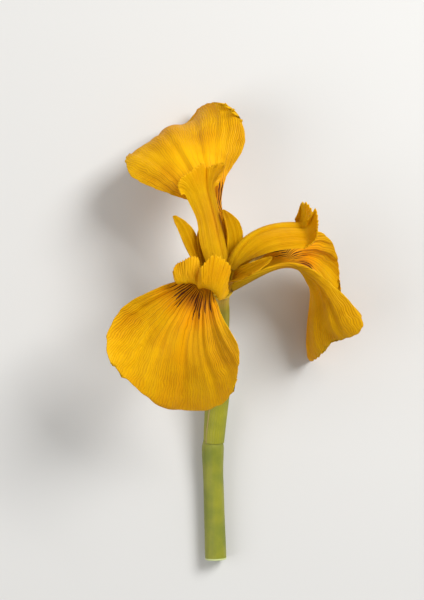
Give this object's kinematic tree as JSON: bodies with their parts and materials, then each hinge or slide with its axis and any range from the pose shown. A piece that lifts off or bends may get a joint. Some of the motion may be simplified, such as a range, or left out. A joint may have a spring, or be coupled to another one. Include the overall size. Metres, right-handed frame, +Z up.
{
  "type": "iris flower",
  "caption": "Yellow flag iris flower as picked, with broad drooping falls, small upright standards, forked style arms, green spathe and a short cut stem.",
  "frame": {"origin": "middle of the flower's footprint, on the surface it lies on", "axes": "+X to the right across the flower, +Y from the cut end of the stem towards the flower, +Z up from the surface"},
  "size_m": [0.078, 0.1414, 0.0548],
  "materials": {
    "fall": "satin yellow petal with a brown-veined signal patch at its throat",
    "standard": "satin yellow petal",
    "style": "satin yellow petal",
    "stamen": "dull brownish yellow anther on a pale filament",
    "tube": "greenish yellow flower tube",
    "ovary": "dull green",
    "spathe": "leafy green with a papery tip",
    "stem": "smooth green stalk, paler at the cut"
  },
  "bodies": {
    "root": {"stem": "stem", "ovary": "ovary", "perianth_tube": "tube", "spathe_inner": "spathe", "spathe_outer": "spathe", "fall_front": "fall", "fall_back": "fall", "fall_right": "fall", "standard_left": "standard", "standard_back": "standard", "standard_right": "standard", "style": "style", "stamen_front": "stamen", "stamen_back": "stamen", "stamen_right": "stamen"}
  },
  "joints": []
}
